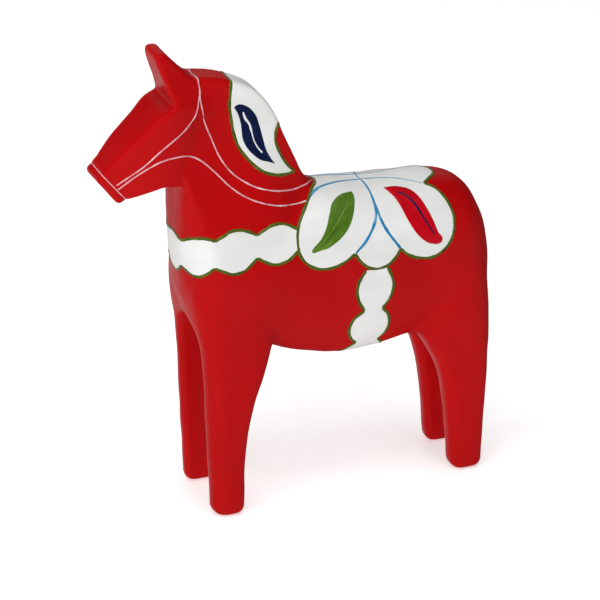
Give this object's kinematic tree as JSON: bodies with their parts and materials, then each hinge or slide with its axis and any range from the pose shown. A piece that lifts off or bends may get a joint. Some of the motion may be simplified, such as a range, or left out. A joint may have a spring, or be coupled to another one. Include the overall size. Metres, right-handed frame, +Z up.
{
  "type": "painted wooden horse figure",
  "caption": "Carved and painted wooden horse figure, standing square on four tapered legs, with a painted harness and saddle.",
  "frame": {"origin": "bottom centre of the bounding box, on the standing surface, midway between nose and rump", "axes": "+Z up, nose towards -X, tail towards +X, the horse's left side towards -Y"},
  "size_m": [0.3358, 0.0938, 0.3985],
  "materials": {
    "red_lacquer": "pine, sanded smooth, primed and painted deep red, satin gloss varnish",
    "beech": "plain unfinished beech dowel",
    "white_paint": "brushed white oil paint, slightly raised, satin gloss varnish",
    "navy_paint": "dark navy brush stroke, satin gloss",
    "green_paint": "leaf green brush stroke with darker streaks, satin gloss",
    "crimson_paint": "crimson brush stroke, satin gloss",
    "olive_outline": "dark olive green outline stroke, satin gloss",
    "blue_line": "thin bright blue brush line, satin gloss",
    "rein_line": "thin white line, thin enough for the red to show through"
  },
  "bodies": {
    "root": {"centre_board": "red_lacquer", "left_side_board": "red_lacquer", "right_side_board": "red_lacquer", "dowel_shoulder": "beech", "dowel_withers": "beech", "dowel_loin": "beech", "dowel_haunch": "beech", "saddle": "white_paint", "girth_band": "white_paint", "chest_band": "white_paint", "mane_patch": "white_paint", "mane_leaf_left": "navy_paint", "mane_leaf_right": "navy_paint", "front_leaf_left": "green_paint", "front_leaf_right": "green_paint", "rear_leaf_left": "crimson_paint", "rear_leaf_right": "crimson_paint"}
  },
  "joints": []
}
